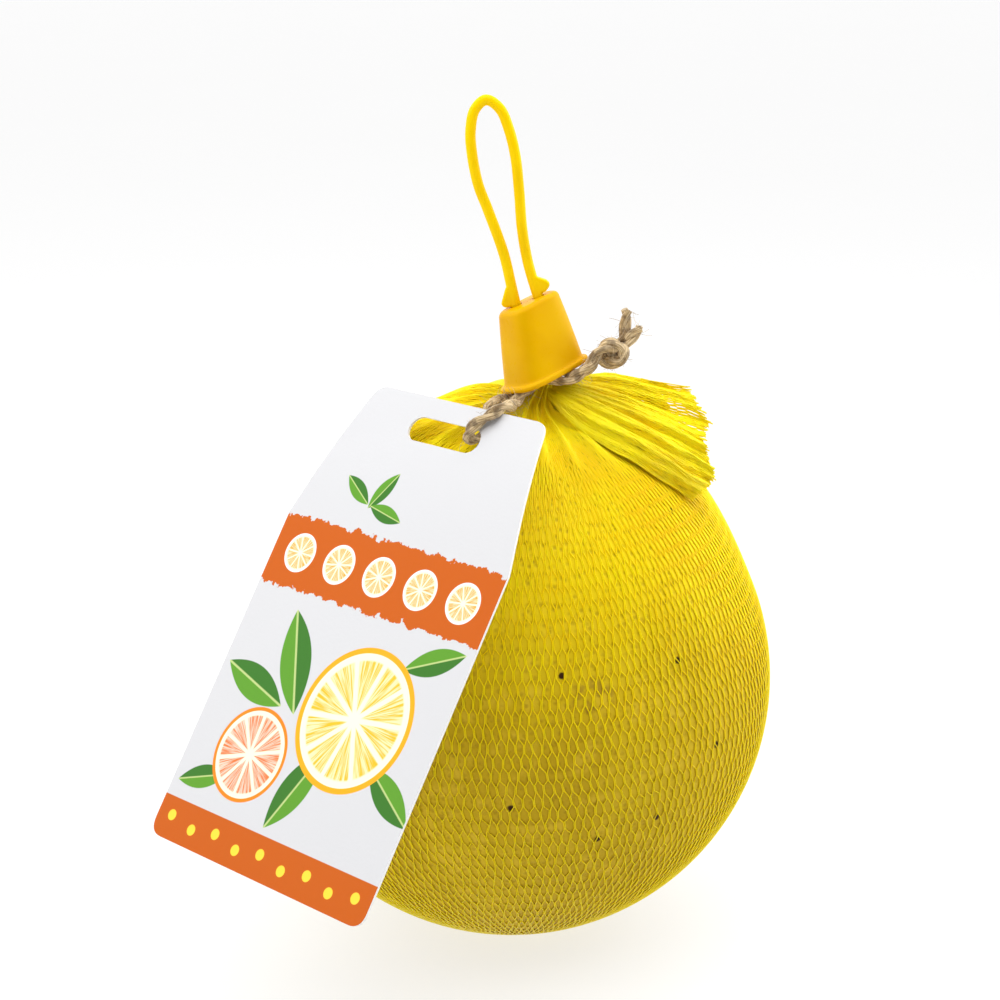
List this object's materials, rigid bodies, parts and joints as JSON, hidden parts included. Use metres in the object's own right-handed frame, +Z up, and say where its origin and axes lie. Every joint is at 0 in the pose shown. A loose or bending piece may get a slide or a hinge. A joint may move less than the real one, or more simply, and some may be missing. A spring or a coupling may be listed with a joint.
{
  "type": "pomelo in net bag",
  "caption": "Pomelo in a tight knitted net bag, gathered under a plastic closure cap with a loop handle, with a bent card tag on a twine.",
  "frame": {"origin": "middle of the small flat spot that the fruit rests on", "axes": "+Z up through the fruit to the loop handle, +X towards the cut tail of the net, -Y towards the side that the tag leans on"},
  "size_m": [0.1705, 0.1902, 0.2423],
  "materials": {
    "peel": "waxy, pitted with oil glands",
    "net": "knitted polyethylene, slightly glossy",
    "cap": "moulded, semi-gloss",
    "loop": "moulded, semi-gloss",
    "twine": "two-ply jute, rough",
    "card": "gloss laminated print"
  },
  "bodies": {
    "root": {"fruit": "peel", "net_bag": "net", "net_gather": "net", "closure_cap": "cap", "loop_handle": "loop", "twine": "twine", "hang_tag": "card"}
  },
  "joints": []
}
